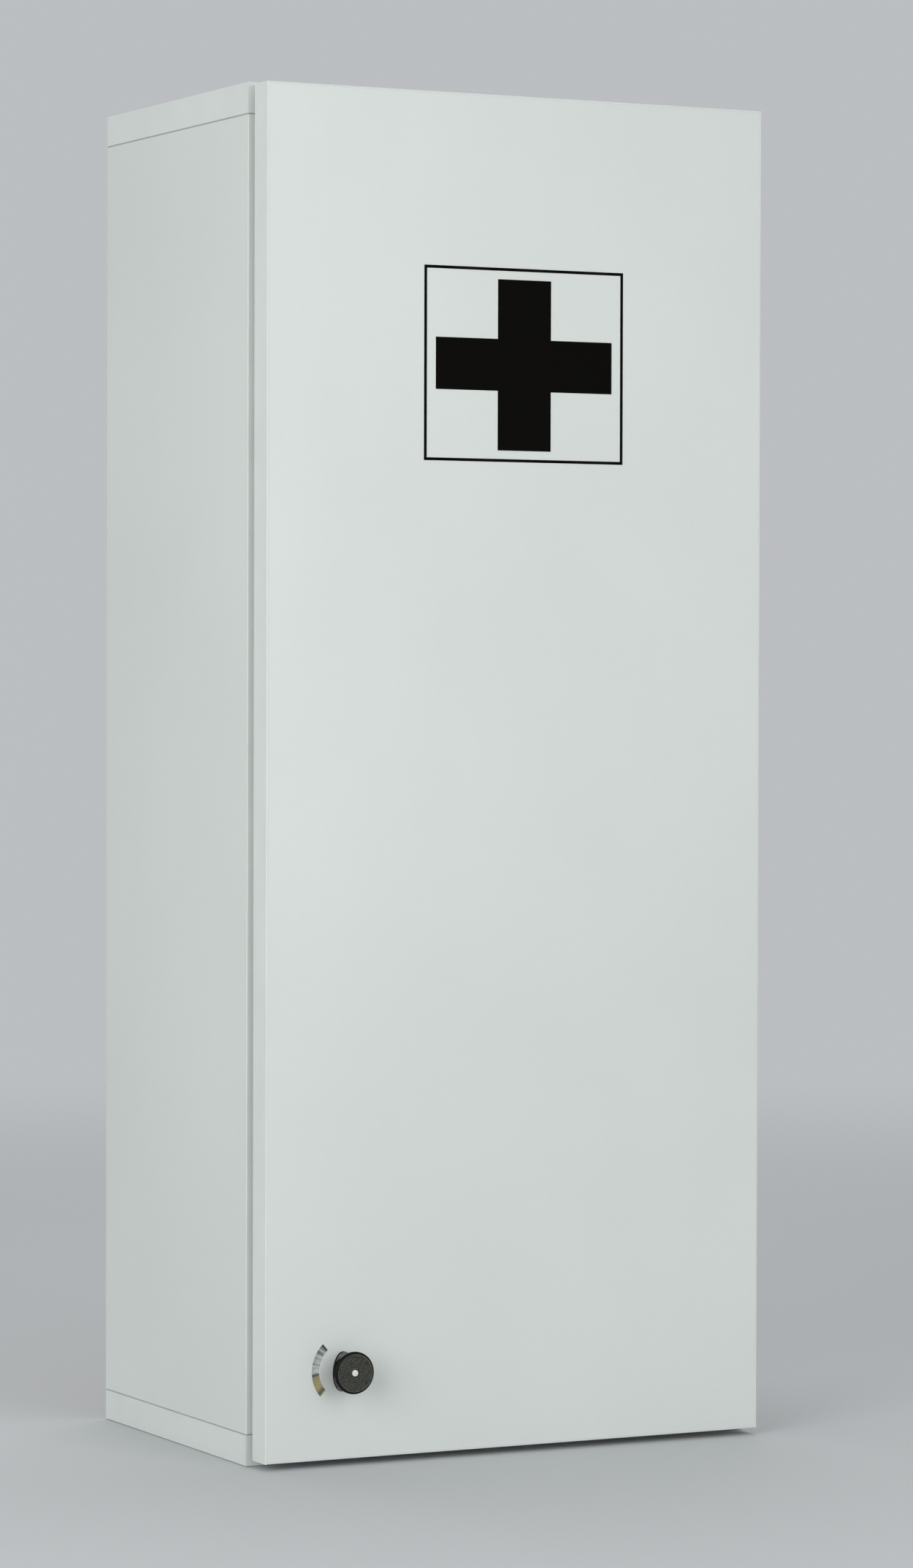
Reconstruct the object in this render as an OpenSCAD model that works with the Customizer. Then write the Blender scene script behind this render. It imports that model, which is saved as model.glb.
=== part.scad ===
// Lockable medicine cabinet: a carcass of white melamine board with three shelves, one overlay
// door on a continuous hinge, and a cam lock with a turn knob and a release button in its middle.
// X runs to the right, Y from the door to the wall, Z up. The origin is the middle of the base.

/* [Carcass] */
// Outside width
cab_w = 290; // [280:1:310]
// Outside height
cab_h = 700; // [690:1:720]
// Outside depth without the door
cab_d = 182; // [180:1:196]
// Thickness of the melamine boards
board_t = 16; // [15:0.5:17]
// Thickness of the edge band
band_t = 1; // [0.8:0.1:1.2]
// Rounding of the edge band's outer arrises
band_r = 0.5; // [0.4:0.1:0.8]
// Depth of the V-shaped seam between the side and end panels
seam = 0.5; // [0.3:0.1:0.6]
// Thickness of the back panel
back_t = 3; // [2.5:0.1:4]
// Depth of the groove that holds the back panel
groove_depth = 6; // [4:0.5:7]

/* [Wall fixing] */
// Height of the rail behind the back panel
rail_h = 60; // [50:1:80]
// Diameter of the two wall screw holes
wall_hole_d = 5.5; // [4.5:0.5:6.5]
// Distance between the two wall screw holes
wall_hole_pitch = 160; // [120:5:180]

/* [Corner joints] */
// Diameter of a cam housing
housing_d = 15; // [12:0.5:15]
// Distance from a board's end to the middle of a cam housing
housing_inset = 24; // [22:1:34]
// Diameter of a wooden dowel
dowel_d = 8; // [6:1:8]

/* [Shelves] */
// Depth of a shelf
shelf_d = 150; // [120:1:150]
// Play between a shelf and a side panel
shelf_play = 1; // [0.9:0.1:2]
// Diameter of a shelf pin
pin_d = 5; // [4:0.5:6]
// Distance between two pin holes
pin_step = 32; // [25:1:32]

/* [Door] */
// Gap between the closed door and the carcass
door_gap = 3.2; // [3.2:0.1:3.6]
// Step from the carcass to the door at the left and the right
reveal_side = 2; // [1:0.5:3]
// Step from the carcass to the door at the top
reveal_top = 1.4; // [1:0.1:4]
// Step from the carcass to the door at the bottom
reveal_bottom = 3.5; // [2:0.1:4]

/* [Door hinge] */
// Number of knuckles, shared by the two leaves
knuckles = 32; // [20:2:32]
// Length of one knuckle
knuckle_len = 20; // [12:1:20]
// Width of a leaf from the pin's axis
leaf_w = 13; // [12.5:0.1:14]
// Thickness of a leaf
leaf_t = 0.7; // [0.5:0.05:0.7]
// Outside diameter of the knuckles
barrel_d = 2.8; // [2.8:0.1:2.9]
// Diameter of the hinge pin
hinge_pin_d = 1.6; // [1.4:0.1:1.6]
// Distance between two screws
screw_step = 64; // [40:1:64]

/* [Lock] */
// Distance from the door's left edge to the lock's axis
lock_inset = 42.5; // [40:0.5:46]
// Distance from the door's bottom edge to the lock's axis
lock_rise = 45.7; // [45:0.1:60]
// Diameter of the knob's front disc
knob_d = 21.5; // [18:0.5:24]
// Distance from the door to the knob's front
knob_reach = 16.2; // [16:0.1:18]
// Width of the knob's oval foot
foot_w = 10.2; // [10:0.1:12]
// Height of the knob's oval foot
foot_h = 20.2; // [18:0.1:22]
// Outer radius of the arc window
window_r_out = 18.9; // [18:0.1:19]
// Inner radius of the arc window
window_r_in = 14.4; // [14:0.1:15.5]
// Angle of the arc window above its middle
window_up = 48; // [30:1:48]
// Angle of the arc window below its middle
window_down = 42; // [30:1:42]
// Reach of the cam from the lock's axis
cam_reach = 25.5; // [24:0.5:26]
// Travel of the release button
button_travel = 2; // [1:0.5:2]

/* [Mark on the door] */
// Width of the thin outline
mark_w = 115.2; // [100:0.1:130]
// Height of the thin outline
mark_h = 99.4; // [90:0.1:120]
// Line width of the outline
mark_line = 1.5; // [1:0.1:3]
// Width of the cross
cross_w = 101.9; // [80:0.1:106]
// Height of the cross
cross_h = 87.7; // [70:0.1:90]
// Width of the cross's upright arm
upright_w = 30.7; // [20:0.1:40]
// Height of the cross's level arm
level_h = 26.6; // [20:0.1:40]
// Height of the mark's middle above the base
mark_z = 560.5; // [400:0.1:600]
// Step of the mark's middle to the right of the cabinet's middle
mark_x = 2.4; // [-5:0.1:5]

/* [Hidden] */
$fn = 64;
cut = 0.5;         // how far a cutter runs past a face
play = 0.05;       // radial play of a shaft, screw or dowel in its hole

// Carcass planes
x_out = cab_w / 2;
x_in = x_out - board_t;
y_front = -cab_d / 2;
y_wall = cab_d / 2;
z_in_low = board_t;
z_in_high = cab_h - board_t;
x_board = x_out - board_t / 2;

// Back panel and rail
back_y1 = y_wall - board_t;
back_y0 = back_y1 - back_t;
groove_play = 0.1;
back_tuck = groove_depth - 0.2;
rail_y = y_wall - board_t / 2;
rail_z = z_in_high - rail_h / 2;

// Corner joints: where they lie along Y, and how deep they go
housing_ys = [y_front + 41, y_front + 139];
dowel_ys = [-20, 20];
dowel_in_end = 11;
dowel_in_side = 19;
rail_dowel_zs = [rail_z - rail_h / 4, rail_z + rail_h / 4];
rail_dowel_in_side = 9.5;
rail_dowel_in_rail = 20;
housing_h = 12.3;
bolt_d = 5;
bolt_bite = 10.5;
bolt_head_d = 6.6;

// Shelves: the clear height is shared evenly
shelf_count = 3;
bay_h = (z_in_high - z_in_low - shelf_count * board_t) / (shelf_count + 1);
shelf_y0 = y_front + 8;
pin_ys = [y_front + 37, y_front + 126];
pin_hole_depth = 10;
pin_reach = 8;
pin_flat = pin_d / 2 - 0.3;

// Door planes
door_y1 = y_front - door_gap;
door_y0 = door_y1 - board_t;
door_x = x_out - reveal_side;
door_z0 = reveal_bottom;
door_z1 = cab_h - reveal_top;
bumper_d = 8;
bumper_h = door_gap - 0.4;

// Hinge: the pin stands just outside the carcass, halfway across the gap
hinge_x = x_out + barrel_d / 2 + 0.2;
hinge_y = y_front - door_gap / 2;
hinge_z0 = (cab_h - knuckles * knuckle_len) / 2;
knuckle_play = 0.1;
hinge_screw_x = hinge_x - 9;
hinge_screw_d = 2.5;
hinge_head_d = 4.6;
hinge_head_h = 1.1;
hinge_screw_len = 13;
hinge_screws = floor((knuckles * knuckle_len - 40) / screw_step) + 1;

// Lock: places along Y from the door's front to inside the cabinet
lock_x = -door_x + lock_inset;
lock_z = door_z0 + lock_rise;
cover_d = 44;
cover_t = 1.2;
disc_y = door_y0 + 1.6;
disc_t = 0.8;
disc_d = 37.2;
window_x = 2.2;         // from the lock's axis to the middle of the window's arcs
window_z = -0.6;
sector_t = 0.1;
sector_r_in = 10.5;
sector_start = 188.5;   // the gold sector, measured as seen from the front
sector_end = 324;
collar_t = 0.8;
case_wall = 2.9;
case_floor = 3;
flange_d = 52;
flange_t = 2;
boss_d = 14;
boss_y0 = disc_y + disc_t + collar_t + 0.15;
boss_y1 = y_front + 2.8;
spindle_d = 8;
square_w = 5.6;
limiter_y = boss_y1 + 0.1;
limiter_t = 1;
cam_y = limiter_y + limiter_t;
cam_t = 2.5;
cam_w = 12;
stop_r = 11;
stop_d = 3;
stop_angle = 45;
lug_gap = 17.3;         // from the stop pin's middle to a lug's middle, in degrees
lug_w = 3;
knob_y = door_y0 - knob_reach;
knob_disc_t = 2.8;
neck_h = 12.2;
neck_drop = 0.6;        // the neck and the foot sit a little below the axis, and lean
foot_drop = 0.85;
foot_lean = 4;
foot_y0 = door_y0 - 2.3;
foot_y1 = door_y0 - 0.3;
grub_y = foot_y0 - 1.2;
grub_d = 2;
socket_y = door_y0 - 4.7;
spring_y = knob_y + 4.8;
button_d = 3.4;
rod_d = 2;
spring_wire = 0.45;
spring_r = 2.1;
spring_turns = 5;
strike_t = 2;
strike_h = 30;
strike_reach = 13;
strike_y0 = y_front + 0.8;
strike_y1 = y_front + 29;
strike_screw_y = y_front + 21;
case_screw_r = 23.9;

// ---- shapes that repeat ----

// A block from one corner to the opposite one
module block(from, to) {
    translate(from) cube(to - from);
}

// A flat shape drawn as seen from the front, given a thickness along Y
module facing(y, thickness) {
    translate([0, y + thickness, 0]) rotate([90, 0, 0]) linear_extrude(thickness) children();
}

// A round bar along Y, from y over a length
module bar_y(y, length, d) {
    translate([0, y + length, 0]) rotate([90, 0, 0]) cylinder(h = length, d = d);
}

// The lock's parts are drawn round its axis and then put in place
module at_lock() {
    translate([lock_x, 0, lock_z]) children();
}

// The same shape on the left and the right
module both_sides() {
    children();
    mirror([1, 0, 0]) children();
}

// The same shape at the bottom and the top of the carcass
module both_ends() {
    children();
    translate([0, 0, cab_h]) mirror([0, 0, 1]) children();
}

// Section of an edge band: x runs outward, y across the board
module band_section() {
    difference() {
        translate([0, -board_t / 2]) square([band_t, board_t]);
        for (side = [-1, 1]) {
            translate([band_t - band_r, side * (board_t / 2 - band_r)]) difference() {
                translate([0, side > 0 ? 0 : -cut - band_r]) square(band_r + cut);
                circle(band_r);
            }
        }
    }
}

module band(length) {
    linear_extrude(length) band_section();
}

// An oval by its width and height
module oval(w, h, steps = 60) {
    polygon([for (i = [0 : steps - 1]) [w / 2 * cos(i * 360 / steps), h / 2 * sin(i * 360 / steps)]]);
}

// A rectangle with round corners, about its middle
module rounded_plate(w, h, r) {
    square([w - 2 * r, h], center = true);
    square([w, h - 2 * r], center = true);
    for (sx = [-1, 1], sy = [-1, 1]) translate([sx * (w / 2 - r), sy * (h / 2 - r)]) circle(r);
}

// A countersunk wood screw pointing along +Z, its head's top at z = 0; grow widens it for a hole
module countersunk(length, grow = 0) {
    cylinder(h = hinge_head_h, d1 = hinge_head_d + 2 * grow, d2 = hinge_screw_d + 2 * grow);
    cylinder(h = length + grow, d = hinge_screw_d + 2 * grow);
}

// A pan-head wood screw pointing along +Z, its head below z = 0
module pan_screw(length, d, head_d, head_h) {
    cylinder(h = length, d = d);
    translate([0, 0, -head_h]) cylinder(h = head_h, d1 = head_d * 0.7, d2 = head_d);
}

// The cross slot in a screw's head, cut from z = 0 along +Z
module cross_slot(width, depth) {
    for (turn = [0, 90]) rotate([0, 0, turn]) {
        translate([-width / 2, -width / 8, -cut]) cube([width, width / 4, depth + cut]);
    }
}

// ---- carcass ----

// The bottom panel without its band; the top panel is the same board turned over
module end_board() {
    difference() {
        block([-x_out + band_t, y_front + band_t, 0], [x_out - band_t, y_wall, board_t]);
        block([-x_in - groove_depth, back_y0 - groove_play, board_t - groove_depth],
              [x_in + groove_depth, back_y1 + groove_play, board_t + cut]);
        both_sides() {
            for (y = housing_ys) {
                translate([x_board, y, board_t - bolt_bite - play])
                    cylinder(h = bolt_bite + cut, d = bolt_d + 2 * play);
            }
            for (y = dowel_ys) {
                translate([x_board, y, board_t - dowel_in_end - play])
                    cylinder(h = dowel_in_end + cut, d = dowel_d + 2 * play);
            }
        }
    }
}

module bottom_panel() {
    color("whitesmoke") end_board();
}

module top_panel() {
    color("whitesmoke") translate([0, 0, cab_h]) mirror([0, 0, 1]) end_board();
}

// Rows of pin holes round each shelf's place, in the right side's inner face
module pin_holes() {
    for (k = [1 : shelf_count], y = pin_ys, step = [-1, 0, 1]) {
        translate([x_in - cut, y, shelf_z(k) - pin_flat + step * pin_step]) rotate([0, 90, 0])
            cylinder(h = pin_hole_depth + cut, d = pin_d + 2 * play);
    }
}

// A V-shaped seam all round the right side's outer edges, where it meets the end panels
module seams() {
    width = seam * sqrt(2);
    both_ends() {
        translate([x_out, 0, z_in_low]) rotate([0, 45, 0])
            cube([width, 2 * cab_d, width], center = true);
        translate([0, y_front, z_in_low]) rotate([45, 0, 0])
            cube([2 * cab_w, width, width], center = true);
    }
}

// The right side without its band and fittings; the left side is its mirror image
module side_board() {
    difference() {
        block([x_in, y_front + band_t, z_in_low], [x_out, y_wall, z_in_high]);
        seams();
        block([x_in - cut, back_y0 - groove_play, z_in_low - cut],
              [x_in + groove_depth, back_y1 + groove_play, z_in_high + cut]);
        pin_holes();
        both_ends() {
            for (y = housing_ys) {
                translate([x_in - cut, y, z_in_low + housing_inset]) rotate([0, 90, 0])
                    cylinder(h = housing_h + 0.2 + cut, d = housing_d + 2 * play);
                translate([x_board, y, z_in_low - cut])
                    cylinder(h = housing_inset + cut, d = bolt_head_d + 4 * play);
            }
            for (y = dowel_ys) {
                translate([x_board, y, z_in_low - cut])
                    cylinder(h = dowel_in_side + play + cut, d = dowel_d + 2 * play);
            }
        }
        for (z = rail_dowel_zs) {
            translate([x_in - cut, rail_y, z]) rotate([0, 90, 0])
                cylinder(h = rail_dowel_in_side + play + cut, d = dowel_d + 2 * play);
        }
    }
}

module left_side() {
    color("whitesmoke") difference() {
        mirror([1, 0, 0]) side_board();
        for (z = [-1, 1]) {
            translate([-x_in + cut, strike_screw_y, lock_z + z * 9]) rotate([0, -90, 0])
                cylinder(h = 12.5 + cut, d = 3.5 + 2 * play);
        }
    }
}

module right_side() {
    color("whitesmoke") difference() {
        side_board();
        hinge_screw_places() carcass_screw(play);
    }
}

// Front bands on all four boards, and end bands on the top and the bottom panel
module carcass_edging() {
    color("white") difference() {
        union() {
            both_ends() {
                translate([-x_out, y_front + band_t, board_t / 2]) rotate([0, 90, 0])
                    rotate([0, 0, -90]) band(cab_w);
                translate([x_out - band_t, y_front + band_t, board_t / 2]) rotate([-90, 0, 0])
                    band(cab_d - band_t);
                translate([-x_out + band_t, y_front + band_t, board_t / 2]) rotate([-90, 0, 0])
                    rotate([0, 0, 180]) band(cab_d - band_t);
            }
            both_sides() {
                translate([x_board, y_front + band_t, z_in_low]) rotate([0, 0, -90])
                    band(z_in_high - z_in_low);
            }
        }
        both_sides() seams();
        hinge_screw_places() carcass_screw(play);
    }
}

module back_panel() {
    color("white") difference() {
        block([-x_in - back_tuck, back_y0, z_in_low - back_tuck],
              [x_in + back_tuck, back_y1, z_in_high + back_tuck]);
        both_sides() translate([wall_hole_pitch / 2, 0, rail_z])
            bar_y(back_y0 - cut, back_t + 2 * cut, wall_hole_d + 0.5);
    }
}

module hanging_rail() {
    color("burlywood") difference() {
        block([-x_in, back_y1 + groove_play, z_in_high - rail_h], [x_in, y_wall, z_in_high]);
        both_sides() {
            translate([wall_hole_pitch / 2, 0, rail_z])
                bar_y(back_y1 - cut, board_t + 2 * cut, wall_hole_d);
            for (z = rail_dowel_zs) {
                translate([x_in - rail_dowel_in_rail - play, rail_y, z]) rotate([0, 90, 0])
                    cylinder(h = rail_dowel_in_rail + cut, d = dowel_d + 2 * play);
            }
        }
    }
}

// One cam housing of a corner joint, in the right side at the bottom
module cam_housing(y) {
    translate([x_in + 0.1, y, z_in_low + housing_inset]) difference() {
        rotate([0, 90, 0]) cylinder(h = housing_h, d = housing_d - 2 * play);
        translate([board_t / 2 - 0.1, 0, -housing_d])
            cylinder(h = housing_d + bolt_head_d / 2 + 1.4, d = bolt_head_d + 0.6);
        rotate([0, 90, 0]) cross_slot(7, 1.5);
    }
}

module cam_housings() {
    color("silver") both_sides() both_ends() for (y = housing_ys) cam_housing(y);
}

// One bolt of a corner joint: screwed into the end panel, its head held in the cam housing
module cam_bolt(y) {
    translate([x_board, y, z_in_low - bolt_bite]) cylinder(h = bolt_bite + housing_inset, d = bolt_d);
    translate([x_board, y, z_in_low + housing_inset - 2]) cylinder(h = 4, d = bolt_head_d);
}

module cam_bolts() {
    color("silver") both_sides() both_ends() for (y = housing_ys) cam_bolt(y);
}

module dowels() {
    color("tan") both_sides() {
        both_ends() for (y = dowel_ys) {
            translate([x_board, y, z_in_low - dowel_in_end])
                cylinder(h = dowel_in_end + dowel_in_side, d = dowel_d);
        }
        for (z = rail_dowel_zs) {
            translate([x_in - rail_dowel_in_rail, rail_y, z]) rotate([0, 90, 0])
                cylinder(h = rail_dowel_in_rail + rail_dowel_in_side, d = dowel_d);
        }
    }
}

// ---- shelves ----

// Underside of the shelf with this number, counted from the bottom
function shelf_z(k) = z_in_low + k * bay_h + (k - 1) * board_t;

module shelf(k) {
    color("whitesmoke") block([-x_in + shelf_play, shelf_y0 + band_t, shelf_z(k)],
                              [x_in - shelf_play, shelf_y0 + shelf_d, shelf_z(k) + board_t]);
}

module shelf_low() {
    shelf(1);
}

module shelf_mid() {
    shelf(2);
}

module shelf_high() {
    shelf(3);
}

module shelf_edging() {
    color("white") for (k = [1 : shelf_count]) {
        translate([-x_in + shelf_play, shelf_y0 + band_t, shelf_z(k) + board_t / 2])
            rotate([0, 90, 0]) rotate([0, 0, -90]) band(2 * (x_in - shelf_play));
    }
}

// A round pin with a thin collar at the wall and a flat on which the shelf lies
module shelf_pin() {
    rotate([0, 90, 0]) cylinder(h = pin_hole_depth - 1, d = pin_d);
    difference() {
        union() {
            translate([-pin_reach, 0, 0]) rotate([0, 90, 0]) cylinder(h = pin_reach, d = pin_d);
            translate([-0.8, 0, 0]) rotate([0, 90, 0]) cylinder(h = 0.8, d = pin_d + 3);
        }
        translate([-pin_reach - cut, -pin_d, pin_flat]) cube([pin_reach + cut, 2 * pin_d, pin_d]);
    }
}

module shelf_pins() {
    color("silver") both_sides() for (k = [1 : shelf_count], y = pin_ys) {
        translate([x_in, y, shelf_z(k) - pin_flat]) shelf_pin();
    }
}

// ---- strike on the left side ----

module strike_plate() {
    color("silver") difference() {
        union() {
            block([-x_in, strike_y0, lock_z - strike_h / 2],
                  [-x_in + strike_t, strike_y1, lock_z + strike_h / 2]);
            translate([-x_in + strike_reach / 2, 0, lock_z]) facing(strike_y0, strike_t)
                rounded_plate(strike_reach, strike_h, 1.5);
        }
        for (z = [-1, 1]) {
            translate([-x_in - cut, strike_screw_y, lock_z + z * 9]) rotate([0, 90, 0])
                cylinder(h = strike_t + 2 * cut, d = 3.9);
        }
    }
}

module strike_screws() {
    color("silver") for (z = [-1, 1]) {
        translate([-x_in + strike_t, strike_screw_y, lock_z + z * 9]) rotate([0, -90, 0])
            difference() {
                pan_screw(14, 3.5, 6.5, 2);
                translate([0, 0, -2]) cross_slot(3, 1);
            }
    }
}

// ---- continuous hinge ----

module hinge_screw_places() {
    for (i = [0 : hinge_screws - 1]) {
        translate([hinge_screw_x, 0, cab_h / 2 + (i - (hinge_screws - 1) / 2) * screw_step])
            children();
    }
}

// A screw through the carcass leaf, into the right side's front edge
module carcass_screw(grow = 0) {
    translate([0, y_front - leaf_t, 0]) rotate([-90, 0, 0]) countersunk(hinge_screw_len, grow);
}

// A screw through the door leaf, into the back of the door
module door_screw(grow = 0) {
    translate([0, door_y1 + leaf_t, 0]) rotate([90, 0, 0]) countersunk(hinge_screw_len, grow);
}

// The carcass leaf; first is 0 or 1, the knuckle that it starts with
module hinge_leaf(first) {
    plate_end = hinge_x - barrel_d / 2 - 0.3;
    block([hinge_x - leaf_w, y_front - leaf_t, hinge_z0],
          [plate_end, y_front, hinge_z0 + knuckles * knuckle_len]);
    for (i = [first : 2 : knuckles - 1]) {
        z0 = hinge_z0 + i * knuckle_len + knuckle_play;
        z1 = hinge_z0 + (i + 1) * knuckle_len - knuckle_play;
        difference() {
            union() {
                translate([hinge_x, hinge_y, z0]) cylinder(h = z1 - z0, d = barrel_d);
                block([plate_end - cut, y_front - leaf_t, z0], [hinge_x - 0.5, y_front, z1]);
            }
            translate([hinge_x, hinge_y, z0 - cut])
                cylinder(h = z1 - z0 + 2 * cut, d = hinge_pin_d + 2 * play);
        }
    }
}

module hinge_leaf_carcass() {
    color("gainsboro") difference() {
        hinge_leaf(0);
        hinge_screw_places() carcass_screw(play);
    }
}

module hinge_leaf_door() {
    color("gainsboro") difference() {
        translate([0, 2 * hinge_y, 0]) mirror([0, 1, 0]) hinge_leaf(1);
        hinge_screw_places() door_screw(play);
    }
}

module hinge_screws_carcass() {
    color("silver") hinge_screw_places() difference() {
        carcass_screw();
        translate([0, y_front - leaf_t, 0]) rotate([-90, 0, 0]) cross_slot(2.6, 0.7);
    }
}

module hinge_screws_door() {
    color("silver") hinge_screw_places() difference() {
        door_screw();
        translate([0, door_y1 + leaf_t, 0]) rotate([90, 0, 0]) cross_slot(2.6, 0.7);
    }
}

module hinge_pin() {
    color("silver") translate([hinge_x, hinge_y, hinge_z0])
        cylinder(h = knuckles * knuckle_len, d = hinge_pin_d);
}

// ---- door ----

module door_panel() {
    color("whitesmoke") difference() {
        block([-door_x + band_t, door_y0, door_z0 + band_t],
              [door_x - band_t, door_y1, door_z1 - band_t]);
        at_lock() bar_y(door_y0 - cut, board_t + 2 * cut, cover_d);
        hinge_screw_places() door_screw(play);
        at_lock() case_screw_places() translate([0, door_y1 + cut, 0]) rotate([90, 0, 0])
            cylinder(h = 12 + cut, d = 3 + 2 * play);
    }
}

module door_edging() {
    color("white") translate([0, (door_y0 + door_y1) / 2, 0]) {
        both_sides() translate([door_x - band_t, 0, door_z0]) band(door_z1 - door_z0);
        translate([-door_x + band_t, 0, door_z0 + band_t]) rotate([0, 90, 0])
            band(2 * (door_x - band_t));
        translate([door_x - band_t, 0, door_z1 - band_t]) rotate([0, -90, 0])
            band(2 * (door_x - band_t));
    }
}

// The black cross and its thin outline are a film on the door's front
module film() {
    translate([mark_x, 0, mark_z]) facing(door_y0 - 0.15, 0.15) children();
}

module cross_mark() {
    color("black") film() {
        square([cross_w, level_h], center = true);
        square([upright_w, cross_h], center = true);
    }
}

module mark_outline() {
    color("black") film() difference() {
        square([mark_w, mark_h], center = true);
        square([mark_w - 2 * mark_line, mark_h - 2 * mark_line], center = true);
    }
}

module door_bumpers() {
    color("lightgrey") for (z = [20, cab_h - 20]) {
        translate([-x_board, door_y1, z]) rotate([-90, 0, 0])
            cylinder(h = bumper_h, d1 = bumper_d, d2 = bumper_d - 2);
    }
}

// ---- lock: fixed parts ----

// A flat pie piece between two angles, as seen from the front
module wedge(start, end, r) {
    steps = 8;
    polygon(concat([[0, 0]], [for (i = [0 : steps]) let (a = start + (end - start) * i / steps)
        [r * cos(a), r * sin(a)]]));
}

// A piece of a ring between two radii and two angles
module arc_piece(r_in, r_out, start, end) {
    intersection() {
        difference() {
            circle(r_out);
            circle(r_in);
        }
        wedge(start, end, r_out * 1.5);
    }
}

// Flush white cover with the arc window to the left of the knob
module lock_cover() {
    color("whitesmoke") at_lock() facing(door_y0, cover_t) difference() {
        circle(d = cover_d - 0.06);
        circle(d = spindle_d + 1);
        translate([window_x, window_z])
            arc_piece(window_r_in, window_r_out, 180 - window_up, 180 + window_down);
    }
}

module case_screw_places() {
    for (turn = [30, 150, 270]) rotate([0, turn, 0]) translate([case_screw_r, 0, 0]) children();
}

// A round case let into the door, with a flange on the door's back and the spindle's bearing
module lock_case() {
    color("dimgray") at_lock() difference() {
        union() {
            bar_y(door_y0 + cover_t, board_t - cover_t, cover_d - 0.2);
            bar_y(door_y1, flange_t, flange_d);
            bar_y(door_y1, boss_y1 - door_y1, boss_d);
            rotate([0, -stop_angle, 0]) translate([stop_r, 0, 0])
                bar_y(door_y1, limiter_y + limiter_t - door_y1 + 0.1, stop_d);
        }
        difference() {
            bar_y(door_y0, board_t - case_floor, cover_d - 2 * case_wall);
            bar_y(boss_y0, board_t, boss_d);
        }
        bar_y(door_y0, board_t * 2, spindle_d + 2 * play);
        case_screw_places() bar_y(door_y1 - cut, flange_t + 2 * cut, 3.3);
    }
}

module lock_case_screws() {
    color("silver") at_lock() case_screw_places() translate([0, door_y1 + flange_t, 0])
        rotate([90, 0, 0]) difference() {
            pan_screw(13.5, 3, 5.4, 1.8);
            translate([0, 0, -1.8]) cross_slot(2.6, 1);
        }
}

// ---- lock: parts that turn ----

// The cast knob's front disc, turned to a rounded rim
module knob_disc() {
    rim = 1.2;
    r = knob_d / 2;
    translate([0, knob_y, 0]) rotate([-90, 0, 0]) rotate_extrude() {
        square([r - rim, knob_disc_t]);
        translate([0, rim]) square([r, knob_disc_t - 2 * rim]);
        for (z = [rim, knob_disc_t - rim]) translate([r - rim, z]) intersection() {
            circle(rim);
            translate([0, z > rim ? 0 : -rim]) square(rim);
        }
    }
}

// Behind the disc an oval neck runs down to a flat oval foot, which leans a little
module knob_stem() {
    facing(knob_y + knob_disc_t - cut, foot_y1 - knob_y - knob_disc_t + cut) rotate(-foot_lean)
        translate([0, -neck_drop]) oval(foot_w - 0.2, neck_h);
    facing(foot_y0, 0.4) rotate(-foot_lean) translate([0, -foot_drop])
        oval(foot_w - 0.5, foot_h - 0.5);
    facing(foot_y0 + 0.3, foot_y1 - foot_y0 - 0.3) rotate(-foot_lean)
        translate([0, -foot_drop]) oval(foot_w, foot_h);
}

module knob() {
    color("black") at_lock() difference() {
        union() {
            knob_disc();
            knob_stem();
        }
        bar_y(socket_y, foot_y1 - socket_y + cut, spindle_d + 2 * play);
        bar_y(spring_y, socket_y - spring_y + cut, 5.4);
        bar_y(knob_y - cut, spring_y - knob_y + 2 * cut, button_d + 0.2);
        translate([0, grub_y, -foot_h]) cylinder(h = foot_h, d = grub_d);
    }
}

module knob_grub_screw() {
    outer_end = -neck_h / 2 - neck_drop + 0.5;
    color("dimgray") at_lock() translate([0, grub_y, outer_end]) difference() {
        cylinder(h = -outer_end - spindle_d / 2 - play, d = grub_d - 2 * play);
        translate([0, 0, -cut]) cylinder(h = 1.2 + cut, d = 1.1, $fn = 6);
    }
}

module spindle() {
    rear_y = cam_y + cam_t - 0.2;
    color("silver") at_lock() difference() {
        union() {
            bar_y(socket_y + 0.1, limiter_y - socket_y - 0.2, spindle_d);
            bar_y(disc_y + disc_t, collar_t, boss_d - 1);
            facing(limiter_y - 0.3, rear_y - limiter_y + 0.3) square(square_w, center = true);
        }
        bar_y(socket_y - cut, boss_y0 + 4 - socket_y + cut, rod_d + 0.4);
        bar_y(rear_y - 9, 9 + cut, 4 + 2 * play);
    }
}

module indicator_disc() {
    color("lightgrey") at_lock() facing(disc_y, disc_t) difference() {
        circle(d = disc_d);
        circle(d = spindle_d + 2 * play);
    }
}

// Gold foil on the disc: it fills the window when the knob is turned to locked
module indicator_sector() {
    color("darkkhaki") at_lock() facing(disc_y - sector_t, sector_t)
        arc_piece(sector_r_in, disc_d / 2 - 0.2, sector_start, sector_end);
}

// A thin plate with two lugs that meet the case's stop pin a quarter turn apart
module turn_limiter() {
    color("silver") at_lock() facing(limiter_y, limiter_t) difference() {
        union() {
            circle(stop_r - 2.5);
            for (a = [stop_angle - lug_gap, stop_angle + 90 + lug_gap]) {
                rotate([0, 0, a]) translate([0, -lug_w / 2]) square([stop_r + 1.5, lug_w]);
            }
        }
        square(square_w + 2 * play, center = true);
    }
}

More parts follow.
